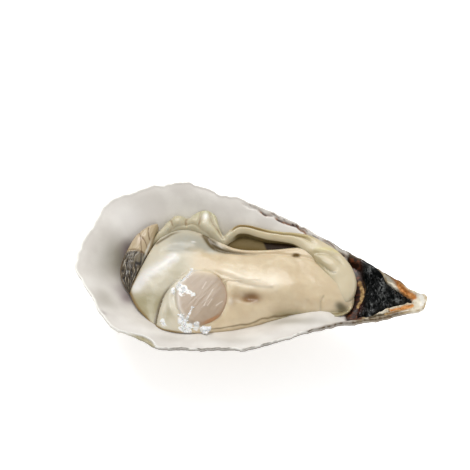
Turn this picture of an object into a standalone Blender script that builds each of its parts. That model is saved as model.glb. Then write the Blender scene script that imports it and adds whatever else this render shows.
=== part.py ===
"""Oyster on the half shell.

The cupped valve lies on its back with the hinge towards +X, the broad end towards -X and
+Z up. The opened meat lies in the cup: the body with its near mantle lobe, the far mantle
lobe folded along the other side, the dark pleated gills at the broad end and down in the
slot between the lobes, and the adductor muscle, a short column that runs from the floor of
the cup up to the cut face on top. The black ligament fills the trough of the hinge.

The origin is the middle of the footprint, on the surface that the shell rests on.
"""

import math

import bmesh
import bpy
import numpy as np

MM = 0.001

# The valve
SHELL_LENGTH = 110 * MM
SHELL_WIDTH = 62 * MM
RIM_HEIGHT = 24 * MM
RIM_WAVE = 0.5 * MM
RIM_WAVES_ROUND = 3
EDGE_THICKNESS = 1.2 * MM
BOWL_DEPTH = 19 * MM
BOWL_REACH = 26 * MM
HULL_REACH = 21 * MM
BOWL_CENTRE = (-10 * MM, -1 * MM)
SHELL_SPINE = ((-30 * MM, 0 * MM), (42 * MM, -3.5 * MM))
STRAIGHT_FALL = 0.35
BACK_ROUNDNESS = 0.5
HINGE_SHALLOWING = 0.8
SHALLOW_FROM, SHALLOW_TO = 0 * MM, 50 * MM
RIPPLE_DEPTH = 0.35 * MM
RIPPLES_ROUND = 17
GROWTH_STEP = 0.7 * MM
GROWTH_SPACING = 5.5 * MM
ROUGH_FROM, ROUGH_FULL = 0.05, 0.2
ROUGH_FADING, ROUGH_TO = 0.6, 0.85

# The trough of the hinge
TROUGH_DEPTH = 3.0 * MM
TROUGH_FROM, TROUGH_TO = 22 * MM, 32 * MM
TROUGH_BANK_FROM, TROUGH_BANK_TO = 0.6 * MM, 2.8 * MM

# The meat
PIECE_GAP = 0.8 * MM
BODY_SPINE = ((-25 * MM, -3 * MM), (22 * MM, -3 * MM))
BODY_ROUNDNESS = 2.6
BODY_RING_POWER = 1.4
MUSCLE_CENTRE = (-14.3 * MM, -9.4 * MM)
MUSCLE_HALF_LENGTH = 8.3 * MM
MUSCLE_HALF_WIDTH = 9.6 * MM
MUSCLE_TOP = 21.5 * MM
MUSCLE_CROWN = 0.7 * MM
MUSCLE_SLOPE = 0.05
MUSCLE_SLEEVE = 0.35 * MM
LIGAMENT_SPINE = ((38 * MM, -2 * MM), (44 * MM, -3 * MM))
LIGAMENT_TOP = 22.5 * MM
LIGAMENT_CROWN = 0.8 * MM
LIGAMENT_EDGE = 0.4 * MM
LIGAMENT_ROUNDNESS = 3
LUMP_HEIGHT = 0.15 * MM
LUMP_LENGTH, LUMP_BREADTH = 1.3 * MM, 1.1 * MM
LIGAMENT_GAP = 0.6 * MM

# Fineness
SPINE_REACH = 0.35
RIM_SAMPLES = 600
SHELL_SIDES, SHELL_RINGS = 80, 14
BODY_SIDES, BODY_RINGS = 48, 11
BAND_SIDES = 14
MANTLE_STATIONS, GILL_STATIONS, SLOT_STATIONS = 50, 22, 16
BAND_WAIST = 0.55
BAND_END_POWER = 6
MUSCLE_SIDES, MUSCLE_RINGS = 28, 6
LIGAMENT_SIDES, LIGAMENT_RINGS = 30, 6

# Outlines seen from above, in millimetres, anticlockwise from the hinge
RIM_POINTS = (
    (55.0, -4.5), (50.0, -0.8), (42.0, 4.6), (32.0, 9.6), (20.8, 15.5), (8.0, 21.8),
    (-3.0, 25.8), (-14.0, 28.3), (-24.5, 30.9), (-35.0, 29.6), (-44.0, 24.0), (-51.5, 16.4),
    (-55.0, 3.0), (-53.8, -8.5), (-48.8, -16.3), (-42.0, -23.5), (-33.0, -27.8), (-24.5, -31.0),
    (-11.0, -29.6), (2.0, -27.9), (13.0, -23.0), (23.0, -18.2), (33.0, -15.0), (43.5, -11.5),
    (53.0, -8.3),
)
BODY_POINTS = (
    (31.0, -4.6), (28.3, 0.6), (25.0, 3.4), (20.0, 6.3), (14.0, 10.0), (4.7, 10.1), (-3.3, 9.1),
    (-11.0, 11.3), (-20.4, 14.9), (-26.0, 15.4), (-30.7, 13.2), (-35.0, 4.0), (-37.3, -5.0),
    (-35.3, -12.2), (-29.4, -18.6), (-21.2, -22.4), (-11.3, -21.2), (-1.7, -17.1), (6.0, -12.4),
    (14.8, -10.0), (22.5, -11.2), (28.5, -8.8),
)
LIGAMENT_POINTS = (
    (51.0, -3.4), (45.4, 0.6), (40.0, 5.0), (35.2, 7.6), (35.4, 3.0), (36.0, -2.0), (35.0, -7.0),
    (36.2, -10.6), (41.0, -9.2), (46.0, -7.2),
)

# The height of the body's crest along the shell, as (x, height) in millimetres
BODY_CREST = (
    (-38, 19.0), (-30, 20.4), (-22, 21.6), (-12, 22.2), (0, 22.8), (14, 23.6), (25, 24.0),
    (31, 23.4), (36, 22.4),
)
BODY_EDGE_RISE = 1.4 * MM

# Creases and hollows pressed into the body, as (x, y, reach, depth) in millimetres
BODY_HOLLOWS = (
    (-1.2, -8.5, 4.0, 2.2),
    (-24.0, -3.5, 2.4, 1.0),
    (-26.6, -8.5, 2.4, 1.4),
    (-27.8, -13.5, 2.4, 1.4),
    (26.0, 1.0, 2.6, 0.9),
)

# The bands of mantle and gill: near side (x, y), far side (x, y) and crest height, in millimetres
MANTLE_SECTIONS = (
    (29.8, -9.2, 31.6, -9.8, 22.4),
    (31.6, -4.8, 34.6, -4.4, 23.4),
    (29.0, 1.2, 33.8, 2.6, 23.8),
    (25.5, 4.2, 29.8, 7.6, 23.8),
    (20.4, 7.4, 22.4, 11.6, 23.6),
    (14.6, 11.6, 15.6, 14.6, 23.0),
    (7.6, 13.6, 8.6, 16.6, 22.0),
    (0.2, 14.4, 1.2, 17.6, 21.5),
    (-5.2, 15.8, -3.6, 19.6, 21.5),
    (-9.4, 12.7, -8.6, 16.2, 20.4),
    (-13.0, 12.7, -12.8, 15.6, 20.0),
    (-16.8, 14.4, -17.4, 21.2, 21.6),
    (-20.6, 15.6, -21.4, 22.0, 21.4),
    (-24.0, 16.2, -24.4, 20.4, 20.4),
    (-27.4, 15.6, -28.4, 22.0, 20.9),
    (-30.4, 14.2, -31.8, 18.4, 19.8),
    (-31.8, 12.6, -33.4, 16.4, 19.2),
)
SLOT_SECTIONS = (
    (8.8, 11.0, 9.0, 12.4, 20.6),
    (6.0, 11.0, 6.3, 13.0, 19.8),
    (2.5, 10.9, 2.7, 13.4, 19.0),
    (-3.0, 10.4, -3.2, 13.8, 18.4),
    (-6.6, 11.0, -6.9, 12.9, 18.0),
    (-9.0, 11.2, -9.3, 12.3, 17.8),
)
GILL_SECTIONS = (
    (-32.8, 10.8, -34.6, 17.0, 19.2),
    (-34.0, 8.2, -38.4, 14.6, 19.8),
    (-35.4, 4.6, -41.2, 10.6, 19.4),
    (-36.5, 0.8, -42.6, 5.6, 18.6),
    (-37.3, -2.4, -43.0, 0.6, 18.0),
    (-37.9, -5.4, -42.2, -3.6, 17.4),
    (-37.8, -8.6, -39.6, -8.0, 16.8),
)


def ramp(low, high, value):
    """Rises smoothly from 0 at low to 1 at high."""
    share = np.clip((value - low) / (high - low), 0.0, 1.0)
    return share * share * (3.0 - 2.0 * share)


def smooth_line(points, closed, steps=30):
    """A Catmull-Rom curve through rows of numbers."""
    rows = np.array(points, float)
    count = len(rows)
    spans = count if closed else count - 1
    line = []
    for span in range(spans):
        if closed:
            around = [rows[(span + shift) % count] for shift in (-1, 0, 1, 2)]
        else:
            around = [rows[min(max(span + shift, 0), count - 1)] for shift in (-1, 0, 1, 2)]
        before, start, end, after = around
        for t in np.linspace(0.0, 1.0, steps, endpoint=False):
            bend = (2 * before - 5 * start + 4 * end - after) * t * t
            curl = (3 * start - before - 3 * end + after) * t**3
            line.append(0.5 * (2 * start + (end - before) * t + bend + curl))
    if not closed:
        line.append(rows[-1])
    return np.array(line)


def even_loop(line, count):
    """The same closed line with evenly spaced points."""
    ring = np.vstack([line, line[:1]])
    lengths = np.linalg.norm(np.diff(ring, axis=0), axis=1)
    along = np.concatenate([[0.0], np.cumsum(lengths)])
    wanted = np.linspace(0.0, along[-1], count, endpoint=False)
    return np.stack([np.interp(wanted, along, ring[:, axis]) for axis in (0, 1)], axis=1)


def rim_loop(count):
    """The rim seen from above, centred and brought to the shell's length and width."""
    loop = even_loop(smooth_line(RIM_POINTS, True), RIM_SAMPLES)
    low, high = loop.min(axis=0), loop.max(axis=0)
    loop = (loop - (low + high) / 2) / (high - low) * (SHELL_LENGTH, SHELL_WIDTH)
    return even_loop(loop, count)


RIM = rim_loop(RIM_SAMPLES)
RIM_SPACING = float(np.linalg.norm(RIM[1] - RIM[0]))
SOFTNESS = 6.0
STRAIGHT_EDGE = math.sqrt(math.pi) * math.gamma((SOFTNESS - 1) / 2) / math.gamma(SOFTNESS / 2)
NEAREST = (0.02 * MM) ** 2


def inset(plan):
    """Distance in from the rim, rounded off along the middle so that it has no crease there."""
    offsets = plan[:, None, :] - RIM[None, :, :]
    squares = np.maximum((offsets**2).sum(axis=2), NEAREST)
    weight = (RIM_SPACING * squares ** (-SOFTNESS / 2)).sum(axis=1)
    return (weight / STRAIGHT_EDGE) ** (-1 / (SOFTNESS - 1))


def rim_height(plan):
    """The rim's own height, which waves gently round the shell."""
    angle = np.arctan2(plan[:, 1] - BOWL_CENTRE[1], plan[:, 0] - BOWL_CENTRE[0])
    return RIM_HEIGHT - RIM_WAVE * (1 + np.sin(RIM_WAVES_ROUND * angle))


def bowl_fall(share):
    """The fall from the rim to the middle: a straight slope blended with an S-curve."""
    return STRAIGHT_FALL * share + (1 - STRAIGHT_FALL) * ramp(0.0, 1.0, share)


def inner_height(plan):
    """The pearly inside: a sloping flange, the bowl, and the trough of the hinge."""
    depth_in = inset(plan)
    share = np.clip(depth_in / BOWL_REACH, 0.0, 1.0)
    bowl = BOWL_DEPTH * (1 - HINGE_SHALLOWING * ramp(SHALLOW_FROM, SHALLOW_TO, plan[:, 0]))
    trough = ramp(TROUGH_FROM, TROUGH_TO, plan[:, 0])
    trough = TROUGH_DEPTH * trough * ramp(TROUGH_BANK_FROM, TROUGH_BANK_TO, depth_in)
    return rim_height(plan) * (1 - share) + RIM_HEIGHT * share - bowl * bowl_fall(share) - trough


def outer_height(plan):
    """The rough back: steep below the rim, stepped by growth, and flat where it rests."""
    depth_in = inset(plan)
    share = np.clip(depth_in / HULL_REACH, 0.0, 1.0)
    rounded = np.sin(share * math.pi / 2)
    fall = BACK_ROUNDNESS * rounded + (1 - BACK_ROUNDNESS) * bowl_fall(share)
    angle = np.arctan2(plan[:, 1] - BOWL_CENTRE[1], plan[:, 0] - BOWL_CENTRE[0])
    rough = ramp(ROUGH_FROM, ROUGH_FULL, share) * (1 - ramp(ROUGH_FADING, ROUGH_TO, share))
    steps = GROWTH_STEP * np.mod(depth_in / GROWTH_SPACING, 1.0)
    ripples = RIPPLE_DEPTH * np.sin(RIPPLES_ROUND * angle)
    return (rim_height(plan) - EDGE_THICKNESS) * (1 - fall) + rough * (steps + ripples)


def material(name, color, roughness):
    """A plain Principled finish."""
    made = bpy.data.materials.new(name)
    made.use_nodes = True
    shader = made.node_tree.nodes["Principled BSDF"]
    shader.inputs["Base Color"].default_value = (*color, 1.0)
    shader.inputs["Roughness"].default_value = roughness
    shader.inputs["Metallic"].default_value = 0.0
    return made


def add_object(name, mesh_maker, finish):
    """Puts a finished bmesh in the scene as one named, smoothly shaded object."""
    if mesh_maker.calc_volume(signed=True) < 0:
        bmesh.ops.reverse_faces(mesh_maker, faces=mesh_maker.faces)
    mesh = bpy.data.meshes.new(name)
    mesh_maker.to_mesh(mesh)
    mesh_maker.free()
    mesh.shade_smooth()
    mesh.materials.append(finish)
    made = bpy.data.objects.new(name, mesh)
    bpy.context.scene.collection.objects.link(made)
    return made


def sphere_places(sides, rings):
    """A unit sphere, with each vertex's step round it and its step above or below the equator."""
    maker = bmesh.new()
    bmesh.ops.create_uvsphere(maker, u_segments=sides, v_segments=2 * rings, radius=1.0)
    around, level = [], []
    for vertex in maker.verts:
        turn = math.atan2(vertex.co.y, vertex.co.x) / math.tau
        rise = math.asin(max(-1.0, min(1.0, vertex.co.z))) / (math.pi / 2)
        around.append(round(turn * sides) % sides)
        level.append(round(rise * rings))
    return maker, np.array(around), np.array(level)


def pressed_sphere(outline, spine, rings, upper, lower, edge_power=1.0):
    """A sphere pressed flat: its equator is the outline, its halves the two surfaces.

    The rings shrink towards the spine, a line from (x, y) to (x, y), and the last of them
    towards its middle. upper and lower take plan points and each point's share of the way
    out to the outline.
    """
    maker, around, level = sphere_places(len(outline), rings)
    share = 1 - (np.abs(level) / rings) ** edge_power
    start, end = np.array(spine)
    middle, run = (start + end) / 2, end - start
    along = np.clip((outline - start) @ run / max(run @ run, MM**2), 0.0, 1.0)
    foot = (start + along[:, None] * run)[around]
    plan = middle + (foot - middle) * share[:, None] ** SPINE_REACH
    plan = plan + (outline[around] - foot) * share[:, None]
    heights = np.where(level >= 0, upper(plan, share), lower(plan, share))
    for vertex, place, height in zip(maker.verts, plan, heights):
        vertex.co = (place[0], place[1], height)
    return maker


def drawn_sphere(sections, stations):
    """A sphere drawn out into a band: each section has its two sides and its crest height."""
    line = smooth_line(sections, False) * MM
    maker = bmesh.new()
    bmesh.ops.create_uvsphere(maker, u_segments=BAND_SIDES, v_segments=stations, radius=1.0)
    along = np.array([math.acos(max(-1.0, min(1.0, v.co.z))) / math.pi for v in maker.verts])
    turn = np.array([math.atan2(v.co.y, v.co.x) for v in maker.verts])
    wanted = along * (len(line) - 1)
    steps = np.arange(len(line))
    near = np.stack([np.interp(wanted, steps, line[:, axis]) for axis in (0, 1)], axis=1)
    far = np.stack([np.interp(wanted, steps, line[:, axis]) for axis in (2, 3)], axis=1)
    crest = np.interp(wanted, steps, line[:, 4])
    taper = (1 - np.abs(2 * along - 1) ** BAND_END_POWER) ** (2 / BAND_END_POWER)
    plan = (near + far) / 2 + (far - near) / 2 * (np.cos(turn) * taper)[:, None]
    floor = inner_height(plan) + PIECE_GAP
    waist = floor + BAND_WAIST * np.maximum(crest - floor, 0)
    rise = np.where(np.sin(turn) > 0, crest - waist, waist - floor) * taper
    heights = waist + np.sin(turn) * rise
    for vertex, place, height in zip(maker.verts, plan, heights):
        vertex.co = (place[0], place[1], height)
    return maker


def make_shell():
    """The cupped valve."""
    finish = material("shell", (0.62, 0.58, 0.52), 0.45)
    maker = pressed_sphere(
        rim_loop(SHELL_SIDES),
        SHELL_SPINE,
        SHELL_RINGS,
        lambda plan, share: inner_height(plan),
        lambda plan, share: outer_height(plan),
    )
    return add_object("half_shell", maker, finish)


def body_crest(plan):
    """How high the meat stands along the shell, with the creases pressed in."""
    crest = smooth_line(BODY_CREST, False) * MM
    height = np.interp(plan[:, 0], crest[:, 0], crest[:, 1])
    for x, y, reach, depth in BODY_HOLLOWS:
        away = np.linalg.norm(plan - np.array((x, y)) * MM, axis=1)
        height = height - depth * MM * np.exp(-((away / (reach * MM)) ** 2))
    return height


def body_dome(share):
    """The body's rounded section, from 1 in the middle to 0 at the outline."""
    return (1 - share**BODY_ROUNDNESS) ** (1 / BODY_ROUNDNESS)


def body_top(plan, share):
    """The upper surface, which rises from an edge just off the pearl."""
    edge = inner_height(plan) + PIECE_GAP + BODY_EDGE_RISE
    return edge + (body_crest(plan) - edge) * body_dome(share)


def body_bottom(plan, share):
    """The lower surface, which follows the floor of the cup."""
    floor = inner_height(plan) + PIECE_GAP
    return floor + BODY_EDGE_RISE * (1 - body_dome(share))


def make_body(muscle_sleeve):
    """The body and its near mantle lobe, with the hole that the muscle passes through."""
    finish = material("body", (0.66, 0.56, 0.41), 0.3)
    outline = even_loop(smooth_line(BODY_POINTS, True) * MM, BODY_SIDES)
    maker = pressed_sphere(outline, BODY_SPINE, BODY_RINGS, body_top, body_bottom, BODY_RING_POWER)
    body = add_object("oyster_body", maker, finish)
    cut = body.modifiers.new("muscle hole", "BOOLEAN")
    cut.operation = "DIFFERENCE"
    cut.object = muscle_sleeve
    return body


def muscle_outline(allowance):
    """The muscle's oval outline, wider all round by the allowance."""
    turns = np.arange(MUSCLE_SIDES) / MUSCLE_SIDES * math.tau
    along = np.cos(turns) * (MUSCLE_HALF_LENGTH + allowance)
    across = np.sin(turns) * (MUSCLE_HALF_WIDTH + allowance)
    return np.stack([along, across], axis=1) + np.array(MUSCLE_CENTRE)


def muscle_top(plan, share):
    """The cut face: slightly crowned, and a little higher on its far side."""
    slope = MUSCLE_SLOPE * (plan[:, 1] - MUSCLE_CENTRE[1])
    return MUSCLE_TOP + slope + MUSCLE_CROWN * (1 - share**2)


def make_muscle():
    """The adductor muscle, cut through at the top."""
    finish = material("muscle", (0.50, 0.40, 0.32), 0.3)
    maker = pressed_sphere(
        muscle_outline(0.0),
        (MUSCLE_CENTRE, MUSCLE_CENTRE),
        MUSCLE_RINGS,
        muscle_top,
        lambda plan, share: inner_height(plan) + PIECE_GAP,
    )
    return add_object("adductor_muscle", maker, finish)


def make_muscle_sleeve():
    """The cutter for the muscle's hole: the muscle's outline, a little wider."""
    maker = bmesh.new()
    outline = muscle_outline(MUSCLE_SLEEVE)
    corners = [maker.verts.new((x, y, 0.0)) for x, y in outline]
    floor = maker.faces.new(corners)
    risen = bmesh.ops.extrude_face_region(maker, geom=[floor])["geom"]
    top = [part for part in risen if isinstance(part, bmesh.types.BMVert)]
    bmesh.ops.translate(maker, verts=top, vec=(0.0, 0.0, 2 * RIM_HEIGHT))
    sleeve = add_object("muscle_sleeve", maker, material("cutter", (0.5, 0.5, 0.5), 0.5))
    sleeve.hide_render = True
    sleeve.display_type = "WIRE"
    return sleeve


def make_mantle():
    """The far mantle lobe, a band folded along the far side of the cup."""
    finish = material("mantle", (0.58, 0.52, 0.36), 0.3)
    return add_object("mantle_edge", drawn_sphere(MANTLE_SECTIONS, MANTLE_STATIONS), finish)


def make_gills():
    """The dark gills: a fringe at the broad end, and a strip deep in the slot."""
    finish = material("gills", (0.09, 0.07, 0.05), 0.35)
    add_object("gill_fringe", drawn_sphere(GILL_SECTIONS, GILL_STATIONS), finish)
    add_object("slot_gills", drawn_sphere(SLOT_SECTIONS, SLOT_STATIONS), finish)


def ligament_top(plan, share):
    """The broken upper face of the ligament, with low lumps."""
    lumps = np.sin(plan[:, 0] / LUMP_LENGTH) * np.cos(plan[:, 1] / LUMP_BREADTH)
    dome = (1 - share**LIGAMENT_ROUNDNESS) ** (1 / LIGAMENT_ROUNDNESS)
    edge = inner_height(plan) + LIGAMENT_GAP + LIGAMENT_EDGE
    crest = LIGAMENT_TOP + LIGAMENT_CROWN * (1 - share**2) + LUMP_HEIGHT * lumps
    return edge + np.maximum(crest - edge, LIGAMENT_EDGE) * dome


def make_ligament():
    """The black wedge of the hinge."""
    finish = material("ligament", (0.012, 0.013, 0.012), 0.25)
    outline = even_loop(smooth_line(LIGAMENT_POINTS, True) * MM, LIGAMENT_SIDES)
    maker = pressed_sphere(
        outline,
        LIGAMENT_SPINE,
        LIGAMENT_RINGS,
        ligament_top,
        lambda plan, share: inner_height(plan) + LIGAMENT_GAP,
    )
    return add_object("hinge_ligament", maker, finish)


def main():
    for old in list(bpy.data.objects):
        bpy.data.objects.remove(old, do_unlink=True)
    sleeve = make_muscle_sleeve()
    make_shell()
    make_body(sleeve)
    make_muscle()
    make_mantle()
    make_gills()
    make_ligament()


main()
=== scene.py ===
# %% [markdown]
# # Oyster on the half shell
# An opened oyster is a study in wet, soft folds inside a hard, flaky cup. The solids in the
# frame already give every piece its place and size. Here each of them is modelled again,
# finely: one closed mesh for the valve, and one for each fold of the meat.
#
# All shapes are worked out in millimetres seen from above, x towards the hinge and y away
# from the near rim, and turned into metres only when a vertex is placed.

# %% The frame
import math

import bmesh
import bpy
import numpy as np
from mathutils import Matrix, Vector, noise


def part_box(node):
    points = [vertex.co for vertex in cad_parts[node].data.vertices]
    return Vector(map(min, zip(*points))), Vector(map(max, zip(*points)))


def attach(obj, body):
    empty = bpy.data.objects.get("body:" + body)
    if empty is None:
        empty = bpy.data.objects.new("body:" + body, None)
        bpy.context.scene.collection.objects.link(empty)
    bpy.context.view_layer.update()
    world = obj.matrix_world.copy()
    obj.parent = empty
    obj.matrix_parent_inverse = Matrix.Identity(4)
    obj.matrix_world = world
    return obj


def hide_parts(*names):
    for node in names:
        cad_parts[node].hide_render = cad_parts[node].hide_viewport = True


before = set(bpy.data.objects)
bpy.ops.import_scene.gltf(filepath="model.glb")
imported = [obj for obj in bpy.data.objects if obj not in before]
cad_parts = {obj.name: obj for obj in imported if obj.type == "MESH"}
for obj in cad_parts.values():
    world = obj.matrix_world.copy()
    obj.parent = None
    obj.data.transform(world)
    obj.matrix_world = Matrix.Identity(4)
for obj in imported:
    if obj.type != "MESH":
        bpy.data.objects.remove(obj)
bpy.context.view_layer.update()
MM = 0.001
shell_low, shell_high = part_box("half_shell")
shell_size = (shell_high - shell_low) / MM
print("shell", round(shell_size.x, 1), "by", round(shell_size.y, 1), "mm")

# %% [markdown]
# ## Camera
# The photograph looks down into the cup from the long side, a little right of square. A long
# lens from 42 cm away keeps the shell's far rim from shrinking. A camera in Blender looks
# along its own -Z, so `to_track_quat` turns that axis onto the line of sight.

# %% Camera
def show(thing):
    """Puts an object into the scene."""
    bpy.context.scene.collection.objects.link(thing)


def aim(thing, place, gaze):
    """Puts a camera or a light at a place, so that it looks along gaze."""
    thing.location = place
    thing.rotation_mode = "QUATERNION"
    thing.rotation_quaternion = gaze.to_track_quat("-Z", "Y")
    show(thing)


AZIMUTH, ELEVATION = math.radians(7), math.radians(57)
LOOK_AT = Vector((-7, 12.9, 24)) * MM
DISTANCE = 420 * MM

back = Vector((
    math.sin(AZIMUTH) * math.cos(ELEVATION),
    -math.cos(AZIMUTH) * math.cos(ELEVATION),
    math.sin(ELEVATION),
))
camera_data = bpy.data.cameras.new("camera")
camera_data.lens, camera_data.sensor_width = 100, 36
camera_data.clip_start, camera_data.clip_end = 0.01, 10
camera = bpy.data.objects.new("camera", camera_data)
aim(camera, LOOK_AT + back * DISTANCE, -back)
bpy.context.scene.camera = camera
print("camera at", [round(value, 3) for value in camera.location])

# %% [markdown]
# ## Studio
# Wet meat shows its shape by its highlights, so the light comes from a few large soft panels
# over a white floor. The main panel hangs behind and to the left, as in the photograph, where
# the near slope of the cup is the brightest. The world fills the shadows.

# %% Studio
def add_panel(name, place, size, watts):
    """A square light panel that faces the oyster."""
    light = bpy.data.lights.new(name, "AREA")
    light.shape, light.size, light.energy = "SQUARE", size, watts
    aim(bpy.data.objects.new(name, light), place, -Vector(place))


add_panel("key", (-0.30, 0.55, 0.85), 0.7, 7.2)
add_panel("fill", (0.45, -0.75, 0.8), 0.9, 2.6)
add_panel("hinge_light", (0.8, 0.3, 0.5), 0.4, 0.9)

world = bpy.data.worlds.new("studio")
world.use_nodes = True
world.node_tree.nodes["Background"].inputs["Color"].default_value = (1, 1, 1, 1)
world.node_tree.nodes["Background"].inputs["Strength"].default_value = 0.42
bpy.context.scene.world = world
bpy.context.scene.view_settings.view_transform = "Standard"

floor_maker = bmesh.new()
bmesh.ops.create_grid(floor_maker, x_segments=1, y_segments=1, size=3)
floor_mesh = bpy.data.meshes.new("floor")
floor_maker.to_mesh(floor_mesh)
floor_maker.free()
floor = bpy.data.objects.new("floor", floor_mesh)
show(floor)

# %% [markdown]
# ## Lines and hills
# Natural outlines are easiest to state as a few points that a smooth curve passes through. A
# Catmull-Rom curve does that. For heights there are the same few points, each with its height,
# and a thin-plate surface laid over them, which bends as little as it can.

# %% Lines and hills
def ramp(low, high, value):
    """Rises smoothly from 0 at low to 1 at high."""
    share = np.clip((value - low) / (high - low), 0, 1)
    return share * share * (3 - 2 * share)


def hill(value, middle, width):
    """1 at middle, falling away on both sides."""
    return np.exp(-(((value - middle) / width) ** 2))


def smooth_line(points, closed=False, steps=30):
    """A Catmull-Rom curve through rows of numbers."""
    rows = np.array(points, float)
    count = len(rows)
    line = []
    for span in range(count if closed else count - 1):
        around = np.arange(span - 1, span + 3)
        before, start, end, after = rows[around % count if closed else around.clip(0, count - 1)]
        for t in np.linspace(0, 1, steps, endpoint=False):
            bend = (2 * before - 5 * start + 4 * end - after) * t * t
            curl = (3 * start - before - 3 * end + after) * t**3
            line.append(0.5 * (2 * start + (end - before) * t + bend + curl))
    if not closed:
        line.append(rows[-1])
    return np.array(line)


def even_loop(line, count):
    """The same closed line with evenly spaced points."""
    ring = np.vstack([line, line[:1]])
    lengths = np.linalg.norm(np.diff(ring[:, :2], axis=0), axis=1)
    along = np.concatenate([[0], np.cumsum(lengths)])
    wanted = np.linspace(0, along[-1], count, endpoint=False)
    return np.stack([np.interp(wanted, along, column) for column in ring.T], axis=1)


class Near:
    """How far each place is from a smooth line (signed: + on its left), and its share along."""

    def __init__(self, plan, points):
        line = smooth_line(points, steps=12)
        offsets = plan[:, None, :2] - line[None, :, :2]
        squares = (offsets**2).sum(axis=2)
        nearest = squares.argmin(axis=1)
        heading = np.gradient(line[:, :2], axis=0)[nearest]
        offset = offsets[np.arange(len(plan)), nearest]
        side = np.sign(heading[:, 0] * offset[:, 1] - heading[:, 1] * offset[:, 0])
        self.away = np.sqrt(squares.min(axis=1))
        self.signed, self.along = side * self.away, nearest / (len(line) - 1)

    def band(self, width):
        """1 on the line, falling away on both sides."""
        return hill(self.away, 0, width)


def spots(plan, *rows):
    """The sum of soft patches, each given by x, y, its reach along x and y, and its strength."""
    total = np.zeros(len(plan))
    for x, y, reach_x, reach_y, strength in rows:
        square = ((plan[:, 0] - x) / reach_x) ** 2 + ((plan[:, 1] - y) / reach_y) ** 2
        total += strength * np.exp(-square)
    return total


def plate_kernel(first, second):
    """How strongly each place of the first list is bent by each one of the second."""
    squares = ((first[:, None, :] - second[None, :, :]) ** 2).sum(axis=2)
    return 0.5 * squares * np.log(np.maximum(squares, 1e-9))


def laid_over(points):
    """A thin-plate surface through (x, y, height) points, as a function of places."""
    rows = np.array(points, float)
    places, heights = rows[:, :2], rows[:, 2]
    count = len(rows)
    flat = np.hstack([np.ones((count, 1)), places])
    system = np.zeros((count + 3, count + 3))
    system[:count, :count] = plate_kernel(places, places)
    system[:count, count:], system[count:, :count] = flat, flat.T
    weights = np.linalg.solve(system, np.concatenate([heights, np.zeros(3)]))

    def height(plan):
        bent = plate_kernel(plan[:, :2], places) @ weights[:count]
        return bent + weights[count] + plan[:, :2] @ weights[count + 1:]

    return height


def pair(first, second):
    """Two columns side by side, as places in a plan."""
    return np.stack([first, second], axis=1)


def rough(plan, size, seed, detail=1):
    """Perlin noise from about -1 to 1 at each place, with bumps of the given size in mm."""
    rows = np.asarray(plan, float) / size
    if rows.shape[1] == 2:
        rows = np.hstack([rows, np.zeros((len(rows), 1))])
    total, weight = np.zeros(len(rows)), 1
    for octave in range(detail):
        spread = rows * 2.03**octave + seed * 7.31 + octave * 3.7
        total += weight * np.array([noise.noise(row) for row in spread])
        weight *= 0.5
    return total * 1.6


# %% [markdown]
# ## The rim and the bowl
# The cup is described by how far in from the rim a place is. A plain distance would leave a
# crease down the middle of the bowl, so `inset` blends the distances to all points of the rim
# softly. The same few numbers made the solids, so the fine valve fits round them.

# %% The rim and the bowl
RIM_HEIGHT, RIM_WAVE, RIM_WAVES_ROUND = 24, 0.5, 3
EDGE_THICKNESS = 1.2
BOWL_DEPTH, BOWL_REACH, HULL_REACH = 19, 26, 21
BOWL_CENTRE = (-10, -1)
SHALLOW_FROM, SHALLOW_TO, HINGE_SHALLOWING = 0, 50, 0.8
TROUGH_DEPTH, TROUGH_FROM, TROUGH_TO = 3, 22, 32
TROUGH_BANK_FROM, TROUGH_BANK_TO = 0.6, 2.8
RIM_POINTS = (
    (55.4, -3.8), (54.4, -1.6), (50.4, -0.3), (46.4, 2.4), (42.5, 4.6), (37.8, 6.9), (32.2, 9.9),
    (26.5, 13), (20.8, 16.1), (14.2, 19.5), (4.3, 23.5), (-2.3, 25.7), (-7.4, 27.4), (-13, 27.9),
    (-17.6, 29.8), (-21.2, 30.8), (-25.4, 31.9), (-30.3, 31.3), (-33.2, 29.9), (-36.8, 29.4),
    (-39, 28), (-41.8, 26.4), (-45.2, 25.1), (-47.6, 23.8), (-50.4, 21.1), (-51.6, 18.6),
    (-52.1, 15.2), (-53.3, 11), (-54.7, 7.2), (-55.8, 2.8), (-55.8, -4.7), (-54, -8.6),
    (-51.2, -12.2), (-48.2, -16.2), (-46.1, -19.3), (-43.5, -22.4), (-41.4, -24.5), (-37.8, -26.2),
    (-34.4, -27.2), (-31.2, -28.2), (-25.6, -30.4), (-18.2, -29.7), (-11, -28.7), (-3.5, -28),
    (2.3, -27.2), (7.3, -25.3), (12.9, -22.7), (22.2, -18.3), (31.7, -14.9), (38.3, -13.2),
    (43.4, -11.4), (49.3, -8.9), (53.7, -7.5),
)
SOFTNESS, LEAST_SQUARE = 6, 4e-4
STRAIGHT_EDGE = math.sqrt(math.pi) * math.gamma((SOFTNESS - 1) / 2) / math.gamma(SOFTNESS / 2)
RIM_SAMPLES, PLACES_AT_ONCE = 500, 4000


def rim_loop(count):
    """The rim seen from above."""
    return even_loop(even_loop(smooth_line(RIM_POINTS, True), RIM_SAMPLES), count)


RIM = rim_loop(RIM_SAMPLES)
RIM_SPACING = float(np.linalg.norm(RIM[1] - RIM[0]))


def inset(plan):
    """Distance in from the rim, rounded off along the middle so that it has no crease there."""
    found = np.empty(len(plan))
    for start in range(0, len(plan), PLACES_AT_ONCE):
        part = slice(start, start + PLACES_AT_ONCE)
        offsets = plan[part, None, :2] - RIM[None, :, :]
        squares = np.maximum((offsets**2).sum(axis=2), LEAST_SQUARE)
        weight = (RIM_SPACING * squares ** (-SOFTNESS / 2)).sum(axis=1)
        found[part] = (weight / STRAIGHT_EDGE) ** (-1 / (SOFTNESS - 1))
    return found


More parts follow.
